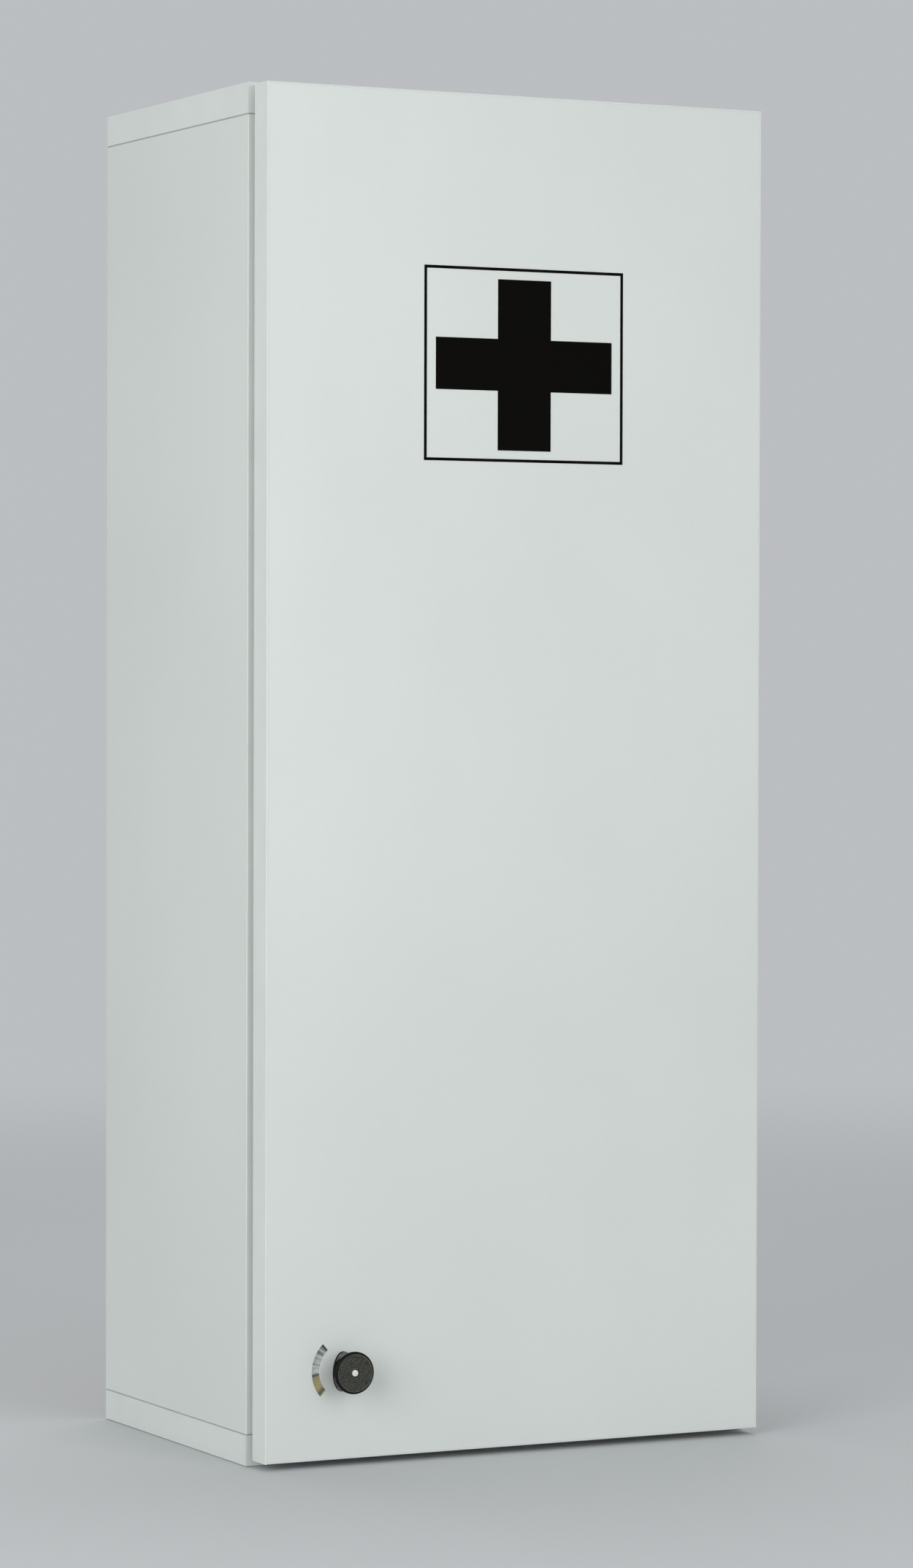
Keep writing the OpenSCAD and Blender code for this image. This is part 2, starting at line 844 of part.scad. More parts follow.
// Unlocked, the cam points down; a quarter turn brings it behind the strike
module lock_cam() {
    color("silver") at_lock() facing(cam_y, cam_t) difference() {
        union() {
            circle(8);
            translate([-cam_w / 2, -cam_reach + 2]) square([cam_w, cam_reach - 2]);
            translate([0, -cam_reach + cam_w / 2]) intersection() {
                circle(cam_w / 2);
                translate([-cam_w / 2, -cam_w / 2]) square([cam_w, cam_w / 2]);
            }
        }
        difference() {
            translate([-cam_w / 2 - cut, -cam_reach - cut]) square([cam_w + 2 * cut, cam_w / 2 + cut]);
            translate([0, -cam_reach + cam_w / 2]) circle(cam_w / 2);
        }
        square(square_w + 2 * play, center = true);
    }
}

module cam_washer() {
    color("silver") at_lock() facing(cam_y + cam_t, 0.8) difference() {
        circle(5);
        circle(2.2);
    }
}

module cam_screw() {
    color("silver") at_lock() translate([0, cam_y + cam_t + 0.8, 0]) rotate([90, 0, 0]) difference() {
        union() {
            cylinder(h = 8, d = 4);
            translate([0, 0, -2.4]) cylinder(h = 2.4, d1 = 5.6, d2 = 7.6);
        }
        translate([0, 0, -2.4]) cross_slot(3.6, 1.2);
    }
}

// White button in the knob's middle, on a thin rod that runs into the spindle
module release_button() {
    color("white") at_lock() {
        bar_y(knob_y - 0.1, spring_y - knob_y + 0.3, button_d);
        bar_y(spring_y + 0.1, 1, 5);
        bar_y(spring_y + 1, boss_y0 - spring_y - 1, rod_d);
    }
}

// Points of one ring of the spring's wire, t turns along
function spring_ring(t, y0, y1) = [for (a = [0 : 60 : 300])
    let (r = spring_r + spring_wire / 2 * cos(a))
    [r * cos(360 * t), y0 + (y1 - y0) * t / spring_turns + spring_wire / 2 * sin(a), r * sin(360 * t)]];

module button_spring() {
    rings = 8 * spring_turns;
    y0 = spring_y + 1.2 + spring_wire / 2;
    y1 = socket_y + 0.05 - spring_wire / 2;
    color("silver") at_lock() polyhedron(
        points = [for (i = [0 : rings]) each spring_ring(i / 8, y0, y1)],
        faces = concat(
            [[0, 1, 2, 3, 4, 5]],
            [for (i = [0 : rings - 1], k = [0 : 5]) let (n = (k + 1) % 6)
                each [[6 * i + k, 6 * i + 6 + k, 6 * i + n], [6 * i + n, 6 * i + 6 + k, 6 * i + 6 + n]]],
            [[for (k = [5 : -1 : 0]) 6 * rings + k]]));
}

top_panel();
bottom_panel();
left_side();
right_side();
carcass_edging();
back_panel();
hanging_rail();
cam_housings();
cam_bolts();
dowels();
shelf_low();
shelf_mid();
shelf_high();
shelf_edging();
shelf_pins();
strike_plate();
strike_screws();
hinge_leaf_carcass();
hinge_screws_carcass();
hinge_pin();
door_panel();
door_edging();
cross_mark();
mark_outline();
hinge_leaf_door();
hinge_screws_door();
lock_cover();
lock_case();
lock_case_screws();
door_bumpers();
knob();
knob_grub_screw();
spindle();
indicator_disc();
indicator_sector();
turn_limiter();
lock_cam();
cam_washer();
cam_screw();
release_button();
button_spring();
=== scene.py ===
import math

import bmesh
import bpy
from mathutils import Matrix, Vector, noise


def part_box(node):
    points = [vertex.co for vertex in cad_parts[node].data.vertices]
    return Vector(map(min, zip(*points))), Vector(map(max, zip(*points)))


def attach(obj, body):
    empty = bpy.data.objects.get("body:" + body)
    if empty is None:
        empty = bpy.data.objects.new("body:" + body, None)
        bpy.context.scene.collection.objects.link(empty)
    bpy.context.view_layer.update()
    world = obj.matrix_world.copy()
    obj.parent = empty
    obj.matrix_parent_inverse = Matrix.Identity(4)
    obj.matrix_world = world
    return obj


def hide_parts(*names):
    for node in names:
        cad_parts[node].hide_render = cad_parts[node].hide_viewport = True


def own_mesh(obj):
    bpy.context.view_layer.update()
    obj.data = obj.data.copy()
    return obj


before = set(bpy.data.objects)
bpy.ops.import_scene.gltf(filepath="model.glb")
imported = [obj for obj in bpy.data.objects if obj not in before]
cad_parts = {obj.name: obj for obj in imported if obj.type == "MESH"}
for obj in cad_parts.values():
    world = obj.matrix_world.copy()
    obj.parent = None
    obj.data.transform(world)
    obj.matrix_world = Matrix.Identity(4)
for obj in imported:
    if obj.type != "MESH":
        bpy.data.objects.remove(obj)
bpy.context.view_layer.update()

# ---- Camera ----
# It stands about two and a half metres off, to the left of the cabinet and a little above its
# middle, with a long lens that looks slightly down.

CAMERA_PLACE = Vector((-1.18935, -2.38473, 0.39989))
CAMERA_YAW = math.radians(-26.8865)
CAMERA_PITCH = math.radians(-1.2187)
CAMERA_ROLL = math.radians(0.1534)
LENS = 114.446
SENSOR_WIDTH = 36.0

bpy.context.scene.view_settings.view_transform = "Standard"
camera_data = bpy.data.cameras.new("camera")
camera_data.lens = LENS
camera_data.sensor_width = SENSOR_WIDTH
camera = bpy.data.objects.new("camera", camera_data)
bpy.context.scene.collection.objects.link(camera)
camera.matrix_world = (
    Matrix.Translation(CAMERA_PLACE)
    @ Matrix.Rotation(CAMERA_YAW, 4, "Z")
    @ Matrix.Rotation(math.pi / 2 + CAMERA_PITCH, 4, "X")
    @ Matrix.Rotation(CAMERA_ROLL, 4, "Z")
)
bpy.context.scene.camera = camera

# ---- Floor, background and lamps ----
# A plain pale floor that fades into an even background, and soft lamps: a tall one at the left,
# a weaker one in front and one from above.

BACKDROP = (0.50, 0.515, 0.53)
FLOOR_COLOUR = (0.56, 0.575, 0.59)
FLOOR_RADIUS = 9.0
FLOOR_SIDES = 96
FLOOR_DROP = 0.0002
FADE_START = 0.7
FADE_END = 2.4
SKY_COLOUR = (0.97, 1.0, 1.0)
SKY_LEVEL = 0.475
MIDDLE = Vector((0.0, 0.0, 0.35))


def join(material, value, socket):
    """Puts a number or a colour on a socket, or leads another node's output to it."""
    if isinstance(value, bpy.types.NodeSocket):
        material.node_tree.links.new(value, socket)
    else:
        socket.default_value = value


def node(material, kind, inputs=(), **settings):
    """One more node in a material or the world, with its settings and what goes into it."""
    made = material.node_tree.nodes.new("ShaderNode" + kind)
    for key, value in settings.items():
        setattr(made, key, value)
    for key, value in dict(inputs).items():
        join(material, value, made.inputs[key])
    return made


def calc(material, operation, *terms):
    """A sum on numbers or on other nodes' outputs."""
    made = node(material, "Math", operation=operation)
    for value, socket in zip(terms, made.inputs):
        join(material, value, socket)
    return made.outputs[0]


def seen_as_background(material):
    """1 where the camera sees a surface straight, in a mirror or through glass, and else 0."""
    path = node(material, "LightPath").outputs
    mirrored = calc(material, "MAXIMUM", path["Is Glossy Ray"], path["Is Transmission Ray"])
    return calc(material, "MAXIMUM", path["Is Camera Ray"], mirrored)


world = bpy.data.worlds.new("studio")
bpy.context.scene.world = world
world.use_nodes = True
world.node_tree.nodes.clear()
sky_light = node(world, "Background", {"Color": (*SKY_COLOUR, 1), "Strength": SKY_LEVEL})
sky_shown = node(world, "Background", {"Color": (*BACKDROP, 1), "Strength": 1.0})
sky = node(world, "MixShader", {
    0: seen_as_background(world), 1: sky_light.outputs[0], 2: sky_shown.outputs[0],
})
node(world, "OutputWorld", {"Surface": sky.outputs[0]})

floor_mesh = bpy.data.meshes.new("floor")
floor_shape = bmesh.new()
bmesh.ops.create_circle(floor_shape, cap_ends=True, radius=FLOOR_RADIUS, segments=FLOOR_SIDES)
floor_shape.to_mesh(floor_mesh)
floor_shape.free()
floor = bpy.data.objects.new("floor", floor_mesh)
floor.location.z = -FLOOR_DROP
bpy.context.scene.collection.objects.link(floor)

floor_finish = bpy.data.materials.new("floor")
floor_finish.use_nodes = True
floor_shader = floor_finish.node_tree.nodes["Principled BSDF"]
floor_shader.inputs["Base Color"].default_value = (*FLOOR_COLOUR, 1)
floor_shader.inputs["Roughness"].default_value = 0.75
floor_shader.inputs["Specular IOR Level"].default_value = 0.2
floor_place = node(floor_finish, "TexCoord").outputs["Object"]
floor_distance = node(floor_finish, "VectorMath", {0: floor_place}, operation="LENGTH").outputs["Value"]
fade = node(
    floor_finish, "MapRange", {"Value": floor_distance, "From Min": FADE_START, "From Max": FADE_END},
    interpolation_type="SMOOTHSTEP",
).outputs["Result"]
far_floor = node(floor_finish, "Emission", {"Color": (*BACKDROP, 1), "Strength": 1.0})
fade_share = calc(floor_finish, "MULTIPLY", fade, seen_as_background(floor_finish))
floor_mix = node(
    floor_finish, "MixShader", {0: fade_share, 1: floor_shader.outputs[0], 2: far_floor.outputs[0]}
)
join(floor_finish, floor_mix.outputs[0], floor_finish.node_tree.nodes["Material Output"].inputs["Surface"])
floor_mesh.materials.append(floor_finish)


def lamp(name, place, width, height, watts, tint=(1, 1, 1)):
    """A soft lamp that points at the middle of the cabinet."""
    data = bpy.data.lights.new(name, "AREA")
    data.shape = "RECTANGLE"
    data.size = width
    data.size_y = height
    data.energy = watts
    data.color = tint
    made = bpy.data.objects.new(name, data)
    made.location = place
    made.rotation_euler = (MIDDLE - Vector(place)).to_track_quat("-Z", "Y").to_euler()
    made.visible_camera = False
    bpy.context.scene.collection.objects.link(made)


lamp("key", (-1.65, -1.05, 0.6), width=1.1, height=1.5, watts=21, tint=(1.0, 0.995, 0.98))
lamp("fill", (0.3, -1.8, 0.7), width=0.8, height=1.2, watts=9, tint=(0.99, 0.995, 1.0))
lamp("top", (0.2, 0.7, 2.3), width=1.4, height=1.4, watts=14)

# ---- White boards ----
# Sixteen millimetre chipboard with a thin white melamine skin on both big faces, fine-pearled
# and satin. The core shows wherever a board is cut: its bare edges, grooves and holes.

SKIN_WHITE = (0.662, 0.697, 0.672)
SKIN_THICKNESS = 0.00015
PAINTED_SEAM = 0.0007
# Painted shade in the seam grooves: how far from the seam it reaches, and how dark it is at the seam.
SEAM_DEPTH = 0.0005
SEAM_PAINTED_SHADE = 0.55
CHIP_TONES = [
    (0.00, (0.115, 0.072, 0.040)),
    (0.12, (0.270, 0.180, 0.105)),
    (0.55, (0.440, 0.320, 0.200)),
    (1.00, (0.600, 0.475, 0.330)),
]
CHIP_ROUGHNESS = 0.9
MILLIMETRE = 0.001
GRAIN_LOW = 0.3
GRAIN_HIGH = 0.7
FIXED_BOARDS = [
    "top_panel", "bottom_panel", "left_side", "right_side", "shelf_low", "shelf_mid", "shelf_high",
]


def new_finish(name, steady=()):
    """A material; what is the same all over goes straight onto its shader's sockets."""
    material = bpy.data.materials.new(name)
    material.use_nodes = True
    shader = material.node_tree.nodes["Principled BSDF"]
    for key, value in dict(steady).items():
        shader.inputs[key].default_value = value
    return material, shader


def grain(material, place, scale, detail=3.0, roughness=0.5):
    """Cloudy noise from about GRAIN_LOW to GRAIN_HIGH, with scale cycles to the metre."""
    settings = {"Vector": place, "Scale": scale, "Detail": detail, "Roughness": roughness}
    return node(material, "TexNoise", settings).outputs["Fac"]


def stretch(material, place, along):
    """The place, multiplied along X, Y and Z, so that a texture grows long or short."""
    return node(material, "Mapping", {"Vector": place, "Scale": along}, vector_type="TEXTURE").outputs[0]


def spread(material, value, low, high, out_low, out_high):
    """Takes a value from one range to another and holds it there."""
    inputs = {"Value": value, "From Min": low, "From Max": high, "To Min": out_low, "To Max": out_high}
    return node(material, "MapRange", inputs).outputs["Result"]


def grained(material, cloudy, out_low, out_high):
    """Takes cloudy noise to another range and holds it there."""
    return spread(material, cloudy, GRAIN_LOW, GRAIN_HIGH, out_low, out_high)


def tones(material, value, stops):
    """Colours along a scale from 0 to 1."""
    ramp = node(material, "ValToRGB", {"Fac": value})
    for index, (place, colour) in enumerate(stops):
        if index < 2:
            stop = ramp.color_ramp.elements[index]
        else:
            stop = ramp.color_ramp.elements.new(place)
        stop.position = place
        stop.color = (*colour, 1)
    return ramp.outputs["Color"]


def mix_colour(material, share, first, second):
    """From the first colour to the second as the share goes from 0 to 1."""
    made = node(material, "Mix", data_type="RGBA")
    for socket, value in ((0, share), (6, first), (7, second)):
        if isinstance(value, tuple):
            value = (*value, 1)
        join(material, value, made.inputs[socket])
    return made.outputs[2]


def mix_value(material, share, first, second):
    """From the first number to the second as the share goes from 0 to 1."""
    made = node(material, "Mix")
    for socket, value in zip(made.inputs[:4], (share, None, first, second)):
        if value is not None:
            join(material, value, socket)
    return made.outputs[0]


def shaded(material, colour, shade):
    """A colour made darker or lighter by a number."""
    return node(material, "VectorMath", {0: colour, 1: shade}, operation="MULTIPLY").outputs[0]


def coat(material, shader, colour, roughness, height=None):
    """Leads a finish to its shader; the height of its small bumps is in millimetres."""
    join(material, colour, shader.inputs["Base Color"])
    join(material, roughness, shader.inputs["Roughness"])
    if height is not None:
        bump = node(material, "Bump", {"Height": height, "Distance": MILLIMETRE, "Strength": 1.0})
        join(material, bump.outputs[0], shader.inputs["Normal"])


def dress(part, material):
    """Gives a part of the frame its finish."""
    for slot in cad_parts[part].material_slots:
        slot.material = material


def chips(material, place, flat_axis):
    """Pressed wood chips that lie flat in the board: their colour and their height."""
    along = [1.0, 1.0, 1.0]
    along[flat_axis] = 0.4
    lying = stretch(material, place, along)
    cells = node(material, "TexVoronoi", {"Vector": lying, "Scale": 430.0}).outputs["Color"]
    shade = node(material, "SeparateColor", {0: cells}).outputs[0]
    dust = grain(material, place, 1600.0, 4.0)
    coarse_share = calc(material, "MULTIPLY", shade, 0.72)
    toned = calc(material, "ADD", coarse_share, calc(material, "MULTIPLY", dust, 0.3))
    return tones(material, toned, CHIP_TONES), calc(material, "MULTIPLY", toned, 0.25)


def above_or_below(material, place, low, high):
    """The distance to the nearer of two levels."""
    height = node(material, "SeparateXYZ", {0: place}).outputs[2]
    from_low = calc(material, "ABSOLUTE", calc(material, "SUBTRACT", height, low))
    from_high = calc(material, "ABSOLUTE", calc(material, "SUBTRACT", height, high))
    return calc(material, "MINIMUM", from_low, from_high)


def skin(material, place, painted_seam_shade=1.0):
    """The white skin: its colour, roughness and height in millimetres; a number below 1 paints shade into
    it.
    """
    cloud = spread(material, grain(material, place, 6.0), 0.35, 0.65, 0.965, 1.0)
    pearl = grain(material, place, 1500.0, 2.0)
    speck = grained(material, pearl, 0.985, 1.01)
    shade = calc(material, "MULTIPLY", calc(material, "MULTIPLY", cloud, speck), painted_seam_shade)
    wiped = grain(material, stretch(material, place, (1, 1, 4)), 26.0, 5.0)
    gloss = spread(material, wiped, 0.35, 0.65, 0.36, 0.46)
    return shaded(material, SKIN_WHITE, shade), gloss, calc(material, "MULTIPLY", pearl, 0.028)


def melamine(part):
    """Melamine board for one part: the skin on its two big faces, and chips between them."""
    low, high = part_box(part)
    axis = min(range(3), key=lambda each: high[each] - low[each])
    middle = (low[axis] + high[axis]) / 2
    half = (high[axis] - low[axis]) / 2
    material, shader = new_finish("melamine_" + part, {"Specular IOR Level": 0.5})
    place = node(material, "TexCoord").outputs["Object"]
    across = node(material, "SeparateXYZ", {0: place}).outputs[axis]
    depth = calc(material, "ABSOLUTE", calc(material, "SUBTRACT", across, middle))
    skinned = SKIN_THICKNESS
    painted_seam_shade = 1.0
    # Painted shade: near their two ends, in the grooves where the end bands meet them, the side boards are
    # darkened.
    if part in ("left_side", "right_side"):
        to_end = above_or_below(material, place, low.z, high.z)
        at_end = calc(material, "LESS_THAN", to_end, PAINTED_SEAM)
        skinned = mix_value(material, at_end, skinned, PAINTED_SEAM)
        painted_seam_shade = spread(material, to_end, 0.0, SEAM_DEPTH, SEAM_PAINTED_SHADE, 1.0)
    core = calc(material, "LESS_THAN", depth, calc(material, "SUBTRACT", half, skinned))

    chip_colour, chip_height = chips(material, place, axis)
    white, skin_gloss, skin_height = skin(material, place, painted_seam_shade)
    colour = mix_colour(material, core, white, chip_colour)
    roughness = mix_value(material, core, skin_gloss, CHIP_ROUGHNESS)
    coat(material, shader, colour, roughness, mix_value(material, core, skin_height, chip_height))
    return material


for board in FIXED_BOARDS:
    dress(board, melamine(board))

# ---- Edge bands ----
# A strip of white plastic, one millimetre thick, is glued onto each cut edge that shows and
# trimmed flush, with its arrises rounded and polished by the trimmer.

BAND_WHITE = (0.668, 0.702, 0.680)
GLUE_GREY = (0.46, 0.46, 0.44)
GLUE_LINE = 0.00008
BAND_THICKNESS = 0.001


def edge_band(name, joints, seams=None):
    """Band plastic; joints are the planes where the bands meet boards or each other.

    A joint is (axis, place), and where its line doesn't run all over, (axis, from, to) after it.
    Seams are the two levels of the grooves where shade is painted in.
    """
    material, shader = new_finish(name, {"Specular IOR Level": 0.25})
    place = node(material, "TexCoord").outputs["Object"]
    parts = node(material, "SeparateXYZ", {0: place}).outputs
    glue = 0.0
    for (axis, plane), *limits in joints:
        off = calc(material, "ABSOLUTE", calc(material, "SUBTRACT", parts[axis], plane))
        line = calc(material, "LESS_THAN", off, GLUE_LINE)
        for limited, start, end in limits:
            line = calc(material, "MULTIPLY", line, calc(material, "GREATER_THAN", parts[limited], start))
            line = calc(material, "MULTIPLY", line, calc(material, "LESS_THAN", parts[limited], end))
        glue = calc(material, "MAXIMUM", glue, line)
    fine = grain(material, place, 900.0, 3.0)
    waves = grain(material, place, 45.0, 2.0)
    tint = grained(material, waves, 0.975, 1.01)
    # Painted shade: the band is darkened in the grooves at the two seams.
    if seams:
        to_seam = above_or_below(material, place, *seams)
        painted_seam_shade = spread(material, to_seam, 0.0, SEAM_DEPTH, SEAM_PAINTED_SHADE, 1.0)
        tint = calc(material, "MULTIPLY", tint, painted_seam_shade)
    colour = mix_colour(material, glue, shaded(material, BAND_WHITE, tint), GLUE_GREY)
    height = calc(material, "MULTIPLY_ADD", waves, 0.12, calc(material, "MULTIPLY", fine, 0.012))
    coat(material, shader, colour, grained(material, fine, 0.52, 0.64), height)
    return material


carcass_low, carcass_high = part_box("carcass_edging")
behind_front = (1, carcass_low.y + BAND_THICKNESS, carcass_high.y)
carcass_joints = [
    [(1, carcass_low.y + BAND_THICKNESS)],
    [(0, carcass_low.x + BAND_THICKNESS), behind_front],
    [(0, carcass_high.x - BAND_THICKNESS), behind_front],
]
# The carcass band gets painted shade at the side boards' two ends.
side_low, side_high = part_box("left_side")
dress("carcass_edging", edge_band("carcass_band", carcass_joints, (side_low.z, side_high.z)))
dress("shelf_edging", edge_band("shelf_band", [[(1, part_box("shelf_edging")[0].y + BAND_THICKNESS)]]))

# ---- Back panel ----
# Three millimetre hardboard that slides into a groove all round. Its front is lacquered white,
# and its back is bare brown fibre with the fine sieve mark of the press.

FIBRE_TONES = [
    (0.25, (0.150, 0.085, 0.045)),
    (0.50, (0.235, 0.145, 0.082)),
    (0.75, (0.315, 0.210, 0.125)),
]
SIEVE_PITCH = 0.0016

back_finish, back_shader = new_finish("hardboard")
back_place = node(back_finish, "TexCoord").outputs["Object"]
back_parts = node(back_finish, "SeparateXYZ", {0: back_place}).outputs
back_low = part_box("back_panel")[0]
bare = calc(back_finish, "GREATER_THAN", back_parts[1], back_low.y + SKIN_THICKNESS)
fibres = grain(back_finish, stretch(back_finish, back_place, (1.0, 1.0, 0.35)), 320.0, 6.0, 0.7)
sieve_x = calc(back_finish, "SINE", calc(back_finish, "MULTIPLY", back_parts[0], math.tau / SIEVE_PITCH))
sieve_z = calc(back_finish, "SINE", calc(back_finish, "MULTIPLY", back_parts[2], math.tau / SIEVE_PITCH))
sieve = calc(back_finish, "MULTIPLY", sieve_x, sieve_z)
lacquer_fleck = grain(back_finish, back_place, 700.0)
lacquer = mix_colour(back_finish, lacquer_fleck, (0.600, 0.612, 0.598), (0.655, 0.668, 0.655))
brown = tones(back_finish, fibres, FIBRE_TONES)
back_tone = mix_colour(back_finish, bare, lacquer, brown)
back_gloss = mix_value(back_finish, bare, 0.4, 0.82)
fibre_height = calc(back_finish, "MULTIPLY_ADD", sieve, 0.03, calc(back_finish, "MULTIPLY", fibres, 0.16))
lacquer_height = calc(back_finish, "MULTIPLY", lacquer_fleck, 0.02)
back_height = mix_value(back_finish, bare, lacquer_height, fibre_height)
coat(back_finish, back_shader, back_tone, back_gloss, back_height)
dress("back_panel", back_finish)

# ---- Hanging rail ----
# A strip of bare sanded chipboard behind the back panel, dowelled between the sides. Two screws
# go through it into the wall.

rail_finish, rail_shader = new_finish("bare_chipboard", {"Specular IOR Level": 0.25})
rail_place = node(rail_finish, "TexCoord").outputs["Object"]
rail_colour, rail_height = chips(rail_finish, rail_place, 1)
sanded = grain(rail_finish, stretch(rail_finish, rail_place, (6.0, 1.0, 1.0)), 900.0, 3.0)
sanded_share = calc(rail_finish, "MULTIPLY", sanded, 0.5)
rail_tone = mix_colour(rail_finish, sanded_share, rail_colour, (0.56, 0.44, 0.30))
coat(rail_finish, rail_shader, rail_tone, grained(rail_finish, sanded, 0.72, 0.9), rail_height)
dress("hanging_rail", rail_finish)

# ---- Corner joints ----
# At each corner a cam housing of cast zinc draws in the head of a steel bolt, and fluted beech
# dowels keep the boards in line. They sit in the side panels, and only the housings show.


def metal(name, colour, rough, brush=(1.0, 1.0, 1.0), scale=1200.0, height=0.006, spot=0.12):
    """Bare or plated metal with fine brush marks, longer along the axes with a larger number."""
    material, shader = new_finish(name, {"Metallic": 1.0})
    place = node(material, "TexCoord").outputs["Object"]
    drawn_out = stretch(material, place, brush)
    lines = grain(material, drawn_out, scale, 3.0)
    tarnish = grain(material, drawn_out, 160.0, 5.0, 0.6)
    dulled = tuple(value * (1.0 - spot) for value in colour)
    bright = tuple(min(1.0, value * (1.0 + spot / 2)) for value in colour)
    tone = mix_colour(material, spread(material, tarnish, 0.35, 0.65, 0, 1), dulled, bright)
    uneven = grained(material, tarnish, -0.05, 0.07)
    brushed = grained(material, lines, rough - 0.05, rough + 0.06)
    roughness = calc(material, "ADD", uneven, brushed)
    coat(material, shader, tone, roughness, calc(material, "MULTIPLY", lines, height))
    return material


zinc_casting = metal("zinc_casting", (0.56, 0.565, 0.57), 0.42, scale=2200.0, height=0.02, spot=0.16)
plated_steel = metal("plated_steel", (0.60, 0.615, 0.635), 0.30)
dress("cam_housings", zinc_casting)
dress("cam_bolts", plated_steel)

beech_finish, beech_shader = new_finish("beech")
beech_place = node(beech_finish, "TexCoord").outputs["Object"]
beech_grain = grain(beech_finish, stretch(beech_finish, beech_place, (1.0, 1.0, 5.0)), 900.0, 4.0)
beech_tones = [(0.3, (0.42, 0.26, 0.14)), (0.5, (0.56, 0.39, 0.24)), (0.7, (0.63, 0.46, 0.30))]
beech_tone = tones(beech_finish, beech_grain, beech_tones)
coat(beech_finish, beech_shader, beech_tone, 0.7, calc(beech_finish, "MULTIPLY", beech_grain, 0.15))
dress("dowels", beech_finish)

# ---- Shelf pins and strike ----
# Turned steel pins, zinc plated, plug into the rows of holes and carry the shelves. The strike
# is a bent steel plate on the left side, held by two screws, behind which the cam turns.

dress("shelf_pins", plated_steel)
strike_steel = metal("strike_steel", (0.58, 0.595, 0.61), 0.34, brush=(1.0, 1.0, 8.0), scale=2600.0)
dress("strike_plate", strike_steel)
dress("strike_screws", plated_steel)

# ---- Continuous hinge ----
# Two rolled leaves of nickel-plated strip, brushed lengthwise, on one steel pin as long as the
# door. Countersunk screws hold them to the right side's edge and to the back of the door.

hinge_strip = metal(
    "nickel_strip", (0.66, 0.66, 0.65), 0.30, brush=(1.0, 1.0, 20.0), scale=3200.0, spot=0.07
)
for part in ("hinge_leaf_carcass", "hinge_leaf_door"):
    dress(part, hinge_strip)
for part in ("hinge_screws_carcass", "hinge_screws_door", "hinge_pin"):
    dress(part, plated_steel)

# ---- Door ----
# One melamine board with edge band all round. Two soft bumpers are stuck to the corners of its
# back.

dress("door_panel", melamine("door_panel"))
door_low, door_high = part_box("door_edging")
between_bands = (0, door_low.x + BAND_THICKNESS, door_high.x - BAND_THICKNESS)
door_joints = [
    [(0, door_low.x + BAND_THICKNESS)],
    [(0, door_high.x - BAND_THICKNESS)],
    [(2, door_low.z + BAND_THICKNESS), between_bands],
    [(2, door_high.z - BAND_THICKNESS), between_bands],
]
dress("door_edging", edge_band("door_band", door_joints))

BUMPER_SKIRT = 0.0004
DOME_STEPS = 12
AROUND = 96
CREASE = math.radians(32)


def ring(middle, y, width, height=None):
    """Points round a circle or an oval that faces along Y."""
    if height is None:
        height = width
    turns = [math.tau * step / AROUND for step in range(AROUND)]
    return [
        Vector((middle.x + width / 2 * math.cos(turn), y, middle.z + height / 2 * math.sin(turn)))
        for turn in turns
    ]


def loft(name, rows, closed=False):
    """A skin over rows of points; a row of one point is a tip, and closed joins last to first."""
    shape = bmesh.new()
    made = [[shape.verts.new(point) for point in row] for row in rows]
    following = made[1:] + made[:1] if closed else made[1:]
    for row, after in zip(made, following):
        for index in range(max(len(row), len(after))):
            corners = [
                row[index % len(row)], row[(index + 1) % len(row)],
                after[(index + 1) % len(after)], after[index % len(after)],
            ]
            shape.faces.new(list(dict.fromkeys(corners)))
    bmesh.ops.recalc_face_normals(shape, faces=shape.faces)
    mesh = bpy.data.meshes.new(name)
    shape.to_mesh(mesh)
    shape.free()
    mesh.shade_smooth()
    mesh.set_sharp_from_angle(angle=CREASE)
    piece = bpy.data.objects.new(name, mesh)
    bpy.context.scene.collection.objects.link(piece)
    return piece


def bumper_dome(name, low, high):
    """One bumper: a flat sticky foot on the door's back, a short skirt and a dome."""
    middle = (low + high) / 2
    width = high.x - low.x
    rise = high.y - low.y - BUMPER_SKIRT
    rows = [[Vector((middle.x, low.y, middle.z))], ring(middle, low.y, width)]
    for step in range(DOME_STEPS):
        turn = math.pi / 2 * step / DOME_STEPS
        rows.append(ring(middle, low.y + BUMPER_SKIRT + rise * math.sin(turn), width * math.cos(turn)))
    rows.append([Vector((middle.x, high.y, middle.z))])
    return loft(name, rows)


bumper_finish, bumper_shader = new_finish(
    "clear_bumper", {"Transmission Weight": 0.55, "IOR": 1.45, "Specular IOR Level": 0.5}
)
bumper_place = node(bumper_finish, "TexCoord").outputs["Object"]
bumper_haze = grain(bumper_finish, bumper_place, 500.0)
bumper_tone = mix_colour(bumper_finish, bumper_haze, (0.62, 0.63, 0.61), (0.72, 0.73, 0.71))
coat(bumper_finish, bumper_shader, bumper_tone, grained(bumper_finish, bumper_haze, 0.18, 0.34))

both_low, both_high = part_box("door_bumpers")
bumper_size = both_high.x - both_low.x
for name, bottom in (("bumper_low", both_low.z), ("bumper_high", both_high.z - bumper_size)):
    corner_low = Vector((both_low.x, both_low.y, bottom))
    corner_high = Vector((both_high.x, both_high.y, bottom + bumper_size))
    bumper = bumper_dome(name, corner_low, corner_high)
    bumper.data.materials.append(bumper_finish)
    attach(bumper, "door")
    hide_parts("door_bumpers")

# ---- Mark on the door ----
# The black cross and its thin square outline are cut from matt black film and stuck on the door's
# face, near its top.

